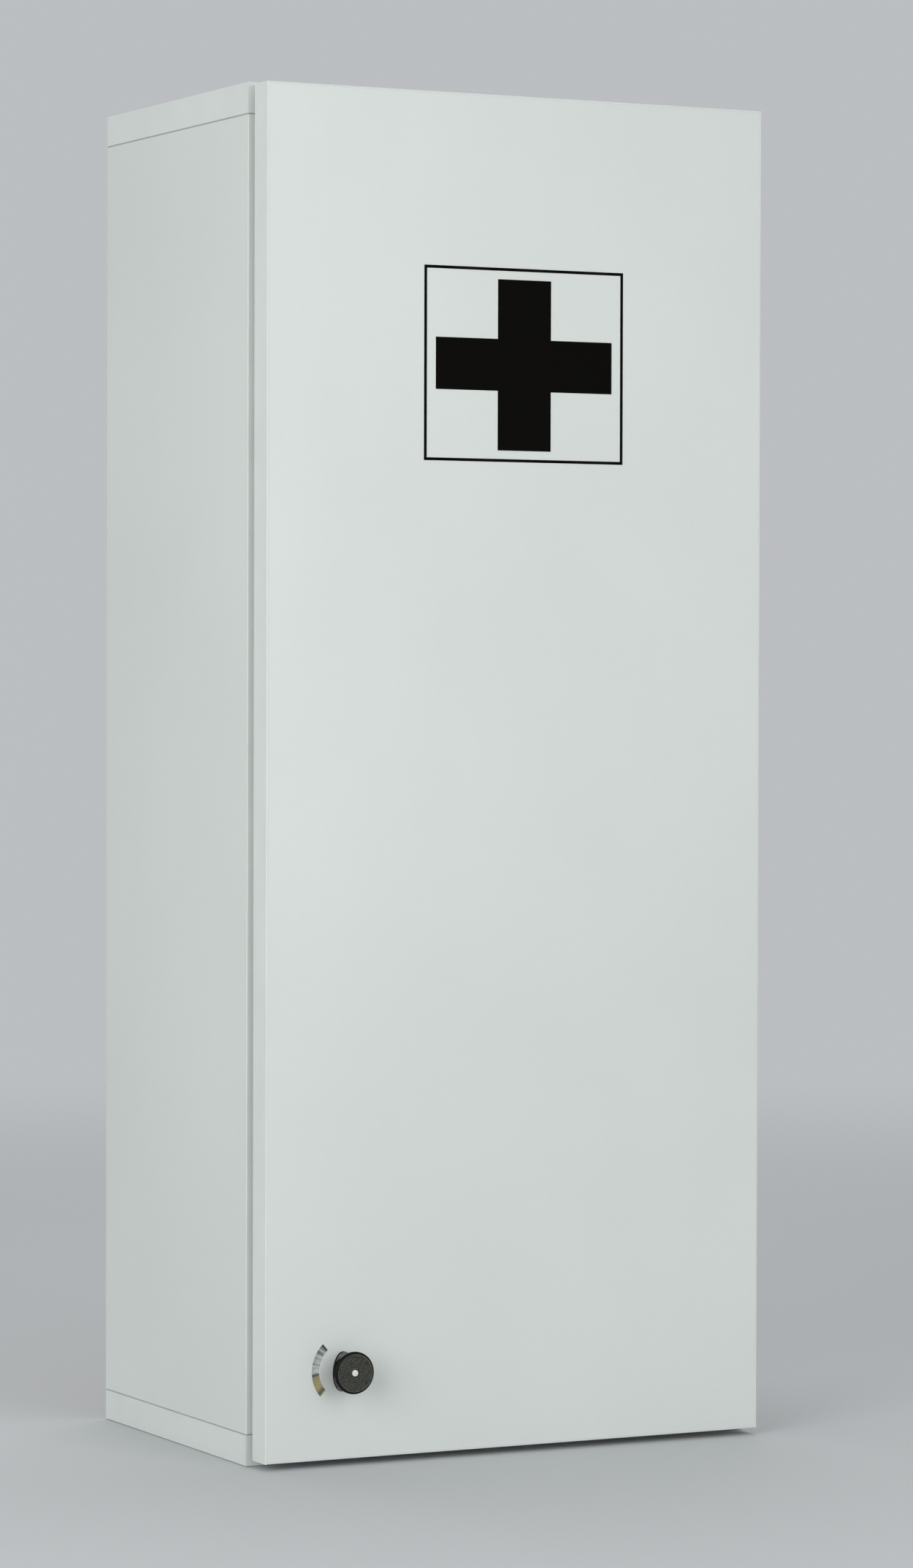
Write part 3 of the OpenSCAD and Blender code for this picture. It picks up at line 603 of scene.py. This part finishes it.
film_finish, film_shader = new_finish("black_film", {"Specular IOR Level": 0.03})
film_place = node(film_finish, "TexCoord").outputs["Object"]
film_grain = grain(film_finish, film_place, 1300.0, 3.0)
film_tone = mix_colour(film_finish, film_grain, (0.0016, 0.0014, 0.0009), (0.0034, 0.0030, 0.0020))
film_gloss = grained(film_finish, film_grain, 0.50, 0.62)
coat(film_finish, film_shader, film_tone, film_gloss, calc(film_finish, "MULTIPLY", film_grain, 0.02))
for part in ("cross_mark", "mark_outline"):
    dress(part, film_finish)

# ---- Lock cover and case ----
# The lock sits in a round black moulded case let into the door, held by three screws from
# behind. Its flush cover is painted to match the door, and has the arc-shaped window.

cover_finish, cover_shader = new_finish("painted_cover", {"Specular IOR Level": 0.5})
cover_place = node(cover_finish, "TexCoord").outputs["Object"]
coat(cover_finish, cover_shader, *skin(cover_finish, cover_place))
dress("lock_cover", cover_finish)

case_finish, case_shader = new_finish("moulded_case", {"Specular IOR Level": 0.4})
case_place = node(case_finish, "TexCoord").outputs["Object"]
spark = grain(case_finish, case_place, 1700.0, 2.0, 0.6)
scuffs = grain(case_finish, case_place, 90.0, 5.0, 0.6)
case_tone = mix_colour(case_finish, spark, (0.010, 0.010, 0.011), (0.024, 0.024, 0.025))
case_worn = calc(case_finish, "MULTIPLY", spread(case_finish, scuffs, 0.52, 0.72, 0, 1), 0.5)
case_colour = mix_colour(case_finish, case_worn, case_tone, (0.050, 0.050, 0.052))
case_gloss = grained(case_finish, spark, 0.46, 0.68)
coat(case_finish, case_shader, case_colour, case_gloss, calc(case_finish, "MULTIPLY", spark, 0.05))
dress("lock_case", case_finish)
dress("lock_case_screws", plated_steel)

# ---- Indicator ----
# A steel disc turns behind the window, drawn out in streaks from its middle. A sector of gold
# foil on it fills the window when the knob stands at locked.

disc_low, disc_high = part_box("indicator_disc")
LOCK_MIDDLE = (disc_low + disc_high) / 2
PALE = (0.735, 0.745, 0.735)
LIGHT = (0.580, 0.605, 0.610)
MIDDLING = (0.440, 0.460, 0.465)
GREY = (0.300, 0.320, 0.320)
DULL = (0.205, 0.225, 0.220)
DARK = (0.070, 0.080, 0.075)
# Towards +50 degrees, the window's top end, the tones darken: painted shade from the window's end wall.
STREAKS = [
    (-60.0, MIDDLING), (-10.0, GREY), (-8.0, GREY), (-6.5, LIGHT), (-4.0, PALE), (1.5, PALE),
    (3.5, LIGHT), (5.5, LIGHT), (7.5, PALE), (9.0, PALE), (10.5, LIGHT), (12.0, GREY),
    (14.0, MIDDLING), (16.0, LIGHT), (21.5, LIGHT), (24.0, MIDDLING), (26.5, MIDDLING),
    (29.5, PALE), (31.5, LIGHT), (34.5, GREY), (36.0, DULL), (38.5, DULL), (40.5, GREY),
    (43.0, LIGHT), (46.0, GREY), (49.0, DULL), (51.5, DARK), (60.0, DARK),
]
GOLD = (0.570, 0.520, 0.225)
OLD_GOLD = (0.470, 0.435, 0.270)
BRONZE = (0.200, 0.180, 0.115)
# The BRONZE stops near -45 degrees, by the window's lower end, are painted shade from the window's end
# wall.
FOIL = [
    (-144.0, OLD_GOLD), (-70.0, GOLD), (-50.0, OLD_GOLD), (-46.5, BRONZE), (-43.5, BRONZE),
    (-39.0, OLD_GOLD), (-35.0, GOLD), (-23.0, GOLD), (-18.0, OLD_GOLD), (-13.5, OLD_GOLD),
    (-11.0, BRONZE), (-8.5, BRONZE),
]
WAVER = 1.2
TURNING_PITCH = 0.00022
FOIL_CLOUD = 0.22


def round_the_lock(material):
    """The place, its degrees above nine o'clock as seen from the front, and its distance."""
    place = node(material, "TexCoord").outputs["Object"]
    from_axis = node(material, "VectorMath", {0: place, 1: LOCK_MIDDLE}, operation="SUBTRACT").outputs[0]
    parts = node(material, "SeparateXYZ", {0: from_axis}).outputs
    radians = calc(material, "ARCTAN2", parts[2], calc(material, "MULTIPLY", parts[0], -1.0))
    angle = calc(material, "DEGREES", radians)
    flat = node(material, "VectorMath", {0: from_axis, 1: (1, 0, 1)}, operation="MULTIPLY").outputs[0]
    radius = node(material, "VectorMath", {0: flat}, operation="LENGTH").outputs["Value"]
    return place, angle, radius


def tones_round(material, angle, stops):
    """Colours that change with the angle, from the first stop's angle to the last's."""
    first = stops[0][0]
    last = stops[-1][0]
    placed = [((degrees - first) / (last - first), colour) for degrees, colour in stops]
    return tones(material, spread(material, angle, first, last, 0, 1), placed)


indicator_finish, indicator_shader = new_finish("drawn_steel", {"Metallic": 0.3})
indicator_place, indicator_angle, indicator_radius = round_the_lock(indicator_finish)
streak_grain = grain(indicator_finish, indicator_place, 420.0, 3.0)
waver = grained(indicator_finish, streak_grain, -WAVER, WAVER)
streak_angle = calc(indicator_finish, "ADD", indicator_angle, waver)
fleck = grained(indicator_finish, grain(indicator_finish, indicator_place, 1500.0), 0.93, 1.05)
streak_tone = tones_round(indicator_finish, streak_angle, STREAKS)
streak_colour = shaded(indicator_finish, streak_tone, fleck)
indicator_gloss = spread(indicator_finish, waver, -WAVER, WAVER, 0.32, 0.46)
mark_turns = calc(indicator_finish, "MULTIPLY", indicator_radius, math.tau / TURNING_PITCH)
turning_marks = calc(indicator_finish, "SINE", mark_turns)
marks_height = calc(indicator_finish, "MULTIPLY", turning_marks, 0.002)
coat(indicator_finish, indicator_shader, streak_colour, indicator_gloss, marks_height)
dress("indicator_disc", indicator_finish)

foil_finish, foil_shader = new_finish("gold_foil", {"Metallic": 0.45})
foil_place, foil_angle, _ = round_the_lock(foil_finish)
foil_tone = tones_round(foil_finish, foil_angle, FOIL)
foil_grain = grain(foil_finish, foil_place, 900.0, 4.0)
foil_cloud = grained(foil_finish, foil_grain, 0.0, FOIL_CLOUD)
foil_colour = mix_colour(foil_finish, foil_cloud, foil_tone, (0.130, 0.100, 0.060))
foil_gloss = spread(foil_finish, foil_cloud, 0.0, FOIL_CLOUD, 0.34, 0.5)
foil_height = calc(foil_finish, "MULTIPLY", foil_cloud, 0.03)
coat(foil_finish, foil_shader, foil_colour, foil_gloss, foil_height)
dress("indicator_sector", foil_finish)

# ---- Knob ----
# Die-cast zinc, coated black: a round grip with a smooth rim and a rough cast face. Behind it are
# an oval neck and foot that sit a little low and lean. A grub screw clamps it on the spindle.

GRIP_THICKNESS = 0.0028
GRIP_RIM = 0.0012
RIM_STEPS = 8
BUTTON_HOLE = 0.0036
HOLE_CHAMFER = 0.0004
FACE_STEPS = 46
FACE_EDGE_STEPS = 3
PIT_DEPTH = 0.00024
CAST_RING_PITCH = 0.0011
SWIRL_SCALE = 320.0
POCK_SCALE = 2400.0
CRUMB_SCALE = 4200.0
NECK = (0.0100, 0.0122)
NECK_DROP = 0.0006
NECK_FILLET = 0.0006
FOOT = (0.0102, 0.0202)
FOOT_DROP = 0.00085
FOOT_THICKNESS = 0.002
FOOT_BEVEL = 0.0003
END_TRIM = 0.0001
LEAN = math.radians(4)
SOCKET_WIDTH = 0.0081
SOCKET_DEPTH = 0.0044
SPRING_WIDTH = 0.0054
SPRING_FROM_FRONT = 0.0048
GRUB_HOLE = 0.002
GRUB_BEFORE_FOOT = 0.0012
DRILL_SIDES = 48
# Painted light: the foot's front face, where it catches the light, is painted in these mottled greys; the
# rest of the knob is black.
FOOT_PAINTED_LIGHT_TONES = [
    (0.36, (0.050, 0.051, 0.050)),
    (0.52, (0.150, 0.152, 0.148)),
    (0.64, (0.230, 0.232, 0.228)),
]

knob_low, knob_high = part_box("knob")
knob_front = knob_low.y
knob_back = knob_high.y
grip_width = knob_high.x - knob_low.x
foot_front = knob_back - FOOT_THICKNESS


def pit(point, distance):
    """How far the rough cast face lies below its rim, in metres."""
    swirl = 6.0 * noise.noise(point * SWIRL_SCALE)
    rings = 0.5 + 0.5 * math.sin(distance * math.tau / CAST_RING_PITCH + swirl)
    pocks = max(0.0, noise.noise(point * POCK_SCALE) + 0.2)
    crumbs = 0.5 + 0.5 * noise.noise(point * CRUMB_SCALE)
    return PIT_DEPTH * min(1.0, 0.1 * rings + 0.75 * pocks + 0.45 * crumbs)


def rough_face():
    """Rows over the grip's face, from the button's hole out to the rim."""
    inner = BUTTON_HOLE / 2 + HOLE_CHAMFER
    outer = grip_width / 2 - GRIP_RIM
    rows = []
    for step in range(FACE_STEPS + 1):
        distance = inner + (outer - inner) * step / FACE_STEPS
        edge = min(step, FACE_STEPS - step) / FACE_EDGE_STEPS
        row = ring(LOCK_MIDDLE, knob_front, 2 * distance)
        for point in row:
            point.y += min(1.0, edge) * pit(point, distance)
        rows.append(row)
    return rows


def rounded(start, y_from, y_to):
    """Rows of a quarter round from the face to the side, or back from the side."""
    rows = []
    for step in range(RIM_STEPS + 1):
        turn = math.pi / 2 * step / RIM_STEPS
        out = math.sin(turn) if start == "face" else math.cos(turn)
        along = 1 - math.cos(turn) if start == "face" else math.sin(turn)
        y = y_from + (y_to - y_from) * along
        rows.append(ring(LOCK_MIDDLE, y, grip_width - 2 * GRIP_RIM * (1 - out)))
    return rows


def oval(y, size, drop, taller=0.0, wider=0.0):
    """An oval row of the neck or the foot, which sit a little below the axis and lean."""
    below = Vector((0.0, 0.0, -drop))
    middle = Vector((LOCK_MIDDLE.x, y, LOCK_MIDDLE.z))
    leaning = Matrix.Rotation(LEAN, 3, "Y")
    return [middle + leaning @ point for point in ring(below, 0.0, size[0] + wider, size[1] + taller)]


grip_back = knob_front + GRIP_THICKNESS
spring_floor = knob_front + SPRING_FROM_FRONT
socket_floor = knob_back - SOCKET_DEPTH
knob_rows = [ring(LOCK_MIDDLE, knob_front + HOLE_CHAMFER, BUTTON_HOLE)]
knob_rows += rough_face()
knob_rows += rounded("face", knob_front, knob_front + GRIP_RIM)[1:]
knob_rows += rounded("side", grip_back - GRIP_RIM, grip_back)
knob_rows += [
    oval(grip_back, NECK, NECK_DROP, NECK_FILLET, NECK_FILLET / 2),
    oval(grip_back + NECK_FILLET * 0.3, NECK, NECK_DROP, NECK_FILLET * 0.3),
    oval(grip_back + NECK_FILLET, NECK, NECK_DROP),
    oval(foot_front - NECK_FILLET, NECK, NECK_DROP),
    oval(foot_front - NECK_FILLET * 0.25, NECK, NECK_DROP, NECK_FILLET, -END_TRIM / 2),
    oval(foot_front, NECK, NECK_DROP, 3 * NECK_FILLET, -END_TRIM),
    oval(foot_front, FOOT, FOOT_DROP, -2 * FOOT_BEVEL, -2 * END_TRIM),
    oval(foot_front + FOOT_BEVEL * 0.3, FOOT, FOOT_DROP, -0.6 * FOOT_BEVEL, -END_TRIM),
    oval(foot_front + FOOT_BEVEL, FOOT, FOOT_DROP),
    oval(knob_back - FOOT_BEVEL / 2, FOOT, FOOT_DROP),
    oval(knob_back, FOOT, FOOT_DROP, -FOOT_BEVEL, -END_TRIM),
    ring(LOCK_MIDDLE, knob_back, SOCKET_WIDTH),
    ring(LOCK_MIDDLE, socket_floor, SOCKET_WIDTH),
    ring(LOCK_MIDDLE, socket_floor, SPRING_WIDTH),
    ring(LOCK_MIDDLE, spring_floor, SPRING_WIDTH),
    ring(LOCK_MIDDLE, spring_floor, BUTTON_HOLE),
]
knob = loft("turn_knob", knob_rows, closed=True)

drill_shape = bmesh.new()
drill_length = FOOT[1] / 2
drill_middle = (LOCK_MIDDLE.x, foot_front - GRUB_BEFORE_FOOT, LOCK_MIDDLE.z - drill_length)
bmesh.ops.create_cone(
    drill_shape, cap_ends=True, segments=DRILL_SIDES, radius1=GRUB_HOLE / 2, radius2=GRUB_HOLE / 2,
    depth=drill_length * 2, matrix=Matrix.Translation(drill_middle),
)
drill_mesh = bpy.data.meshes.new("grub_drill")
drill_shape.to_mesh(drill_mesh)
drill_shape.free()
drill = bpy.data.objects.new("grub_drill", drill_mesh)
bpy.context.scene.collection.objects.link(drill)
cut = knob.modifiers.new("grub_hole", "BOOLEAN")
cut.object = drill
cut.operation = "DIFFERENCE"
cut.solver = "EXACT"
drilled = bpy.data.meshes.new_from_object(knob.evaluated_get(bpy.context.evaluated_depsgraph_get()))
knob.modifiers.clear()
knob.data = drilled
drilled.set_sharp_from_angle(angle=CREASE)
bpy.data.objects.remove(drill)

knob_finish, knob_shader = new_finish("black_casting", {"Specular IOR Level": 0.12})
knob_place, _, knob_radius = round_the_lock(knob_finish)
knob_along = node(knob_finish, "SeparateXYZ", {0: knob_place}).outputs[1]
below_pits = knob_front + PIT_DEPTH * 1.2
face_radius = grip_width / 2 - GRIP_RIM * 0.9
foot_face = foot_front + FOOT_BEVEL * 0.2
near_front = calc(knob_finish, "LESS_THAN", knob_along, below_pits)
within_rim = calc(knob_finish, "LESS_THAN", knob_radius, face_radius)
outside_hole = calc(knob_finish, "GREATER_THAN", knob_radius, BUTTON_HOLE / 2 + HOLE_CHAMFER)
on_disc = calc(knob_finish, "MULTIPLY", near_front, within_rim)
on_face = calc(knob_finish, "MULTIPLY", on_disc, outside_hole)
# The foot's front face beyond the neck, which gets the painted light.
off_foot = calc(knob_finish, "ABSOLUTE", calc(knob_finish, "SUBTRACT", knob_along, foot_face))
near_foot = calc(knob_finish, "LESS_THAN", off_foot, FOOT_BEVEL * 0.6)
beyond_neck = calc(knob_finish, "GREATER_THAN", knob_radius, NECK[1] / 2)
on_foot = calc(knob_finish, "MULTIPLY", beyond_neck, near_foot)
speckle = grain(knob_finish, knob_place, 2100.0, 4.0, 0.65)
coarse = grain(knob_finish, knob_place, 420.0, 4.0, 0.6)
raised = spread(knob_finish, knob_along, knob_front, knob_front + PIT_DEPTH * 0.8, 1, 0)
rubbed = calc(knob_finish, "MULTIPLY", raised, spread(knob_finish, speckle, 0.38, 0.62, 0.25, 1))
face_tone = mix_colour(knob_finish, rubbed, (0.020, 0.0205, 0.0165), (0.124, 0.128, 0.110))
# Painted light on the foot's front face.
foot_painted_light = tones(knob_finish, coarse, FOOT_PAINTED_LIGHT_TONES)
smooth_tone = mix_colour(knob_finish, speckle, (0.0025, 0.0025, 0.0025), (0.0065, 0.0065, 0.006))
behind_tone = mix_colour(knob_finish, on_foot, smooth_tone, foot_painted_light)
knob_tone = mix_colour(knob_finish, on_face, behind_tone, face_tone)
rough_part = calc(knob_finish, "MAXIMUM", on_face, on_foot)
smooth_gloss = grained(knob_finish, speckle, 0.46, 0.58)
rough_gloss = grained(knob_finish, coarse, 0.48, 0.66)
knob_gloss = mix_value(knob_finish, rough_part, smooth_gloss, rough_gloss)
speckle_height = mix_value(knob_finish, rough_part, 0.012, 0.09)
knob_height = calc(knob_finish, "MULTIPLY", speckle, speckle_height)
coat(knob_finish, knob_shader, knob_tone, knob_gloss, knob_height)
knob.data.materials.clear()
knob.data.materials.append(knob_finish)
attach(knob, "lock_rotor")
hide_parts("knob")

# ---- Release button ----
# A small ivory plastic button in the knob's middle, on a thin rod, with a collar that its spring
# pushes against the knob. It is turned with a slightly domed face.

BUTTON_WIDTH = 0.0034
BUTTON_DOME = 0.00012
BUTTON_EDGE = 0.0003
BUTTON_STEPS = 8
EDGE_STEPS = 6
COLLAR_GAP = 0.0001
COLLAR_WIDTH = 0.005
COLLAR_THICKNESS = 0.001
COLLAR_CHAMFER = 0.0001
ROD_WIDTH = 0.002
ROD_CHAMFER = 0.0003

button_low, button_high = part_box("release_button")
collar_front = spring_floor + COLLAR_GAP
collar_back = collar_front + COLLAR_THICKNESS
button_rows = [[Vector((LOCK_MIDDLE.x, button_low.y, LOCK_MIDDLE.z))]]
for step in range(1, BUTTON_STEPS + 1):
    share = step / BUTTON_STEPS
    dome_width = (BUTTON_WIDTH - 2 * BUTTON_EDGE) * share
    button_rows.append(ring(LOCK_MIDDLE, button_low.y + BUTTON_DOME * share * share, dome_width))
for step in range(1, EDGE_STEPS + 1):
    turn = math.pi / 2 * step / EDGE_STEPS
    edge_y = button_low.y + BUTTON_DOME + BUTTON_EDGE * (1 - math.cos(turn))
    edge_width = BUTTON_WIDTH - 2 * BUTTON_EDGE * (1 - math.sin(turn))
    button_rows.append(ring(LOCK_MIDDLE, edge_y, edge_width))
button_rows += [
    ring(LOCK_MIDDLE, collar_front, BUTTON_WIDTH),
    ring(LOCK_MIDDLE, collar_front, COLLAR_WIDTH - 2 * COLLAR_CHAMFER),
    ring(LOCK_MIDDLE, collar_front + COLLAR_CHAMFER, COLLAR_WIDTH),
    ring(LOCK_MIDDLE, collar_back - COLLAR_CHAMFER, COLLAR_WIDTH),
    ring(LOCK_MIDDLE, collar_back, COLLAR_WIDTH - 2 * COLLAR_CHAMFER),
    ring(LOCK_MIDDLE, collar_back, ROD_WIDTH),
    ring(LOCK_MIDDLE, button_high.y - ROD_CHAMFER, ROD_WIDTH),
    ring(LOCK_MIDDLE, button_high.y, ROD_WIDTH - 2 * ROD_CHAMFER),
    [Vector((LOCK_MIDDLE.x, button_high.y, LOCK_MIDDLE.z))],
]
button = loft("white_button", button_rows)

ivory_finish, ivory_shader = new_finish("ivory_plastic", {"Specular IOR Level": 0.45})
ivory_place = node(ivory_finish, "TexCoord").outputs["Object"]
handled = grain(ivory_finish, ivory_place, 700.0, 4.0)
ivory_tone = mix_colour(ivory_finish, handled, (0.640, 0.625, 0.560), (0.790, 0.780, 0.725))
ivory_gloss = grained(ivory_finish, handled, 0.34, 0.52)
coat(ivory_finish, ivory_shader, ivory_tone, ivory_gloss, calc(ivory_finish, "MULTIPLY", handled, 0.02))
button.data.materials.append(ivory_finish)
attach(button, "button")
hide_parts("release_button")

# ---- Button spring ----
# A coil of thin spring steel wire between the button's collar and the spindle's end.

WIRE = 0.00045
COILS = 5
STEPS_PER_COIL = 28
WIRE_SIDES = 10

spring_low, spring_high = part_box("button_spring")
coil_radius = (spring_high.x - spring_low.x - WIRE) / 2


def wire_ring(step):
    """Points round the wire, so many steps along the coil."""
    turn = math.tau * step / STEPS_PER_COIL
    rise = (spring_high.y - spring_low.y - WIRE) * step / (COILS * STEPS_PER_COIL)
    points = []
    for side in range(WIRE_SIDES):
        round_wire = math.tau * side / WIRE_SIDES
        out = coil_radius + WIRE / 2 * math.cos(round_wire)
        points.append(Vector((
            LOCK_MIDDLE.x + out * math.cos(turn),
            spring_low.y + WIRE / 2 + rise + WIRE / 2 * math.sin(round_wire),
            LOCK_MIDDLE.z + out * math.sin(turn),
        )))
    return points


wire_rows = [wire_ring(step) for step in range(COILS * STEPS_PER_COIL + 1)]
wire_ends = [[sum(row, Vector()) / WIRE_SIDES] for row in (wire_rows[0], wire_rows[-1])]
spring = loft("coil_spring", [wire_ends[0], *wire_rows, wire_ends[1]])
spring.data.materials.append(metal("spring_wire", (0.62, 0.61, 0.59), 0.26, scale=3000.0))
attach(spring, "lock_rotor")
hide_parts("button_spring")
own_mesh(spring)

# ---- Spindle, limiter and cam ----
# A turned steel spindle runs through the case. On its square end sit a thin plate that stops
# it after a quarter turn and the cam, a flat steel tongue, held by a washer and a screw.

turned_steel = metal("turned_steel", (0.55, 0.56, 0.575), 0.30, brush=(1.0, 6.0, 1.0), scale=2600.0)
pressed_steel = metal(
    "pressed_steel", (0.60, 0.60, 0.595), 0.36, brush=(1.0, 1.0, 5.0), scale=2200.0, spot=0.16
)
blackened = metal("blackened_steel", (0.060, 0.060, 0.064), 0.42, scale=2400.0)
dress("spindle", turned_steel)
dress("turn_limiter", pressed_steel)
dress("lock_cam", pressed_steel)
dress("cam_washer", plated_steel)
dress("cam_screw", plated_steel)
dress("knob_grub_screw", blackened)
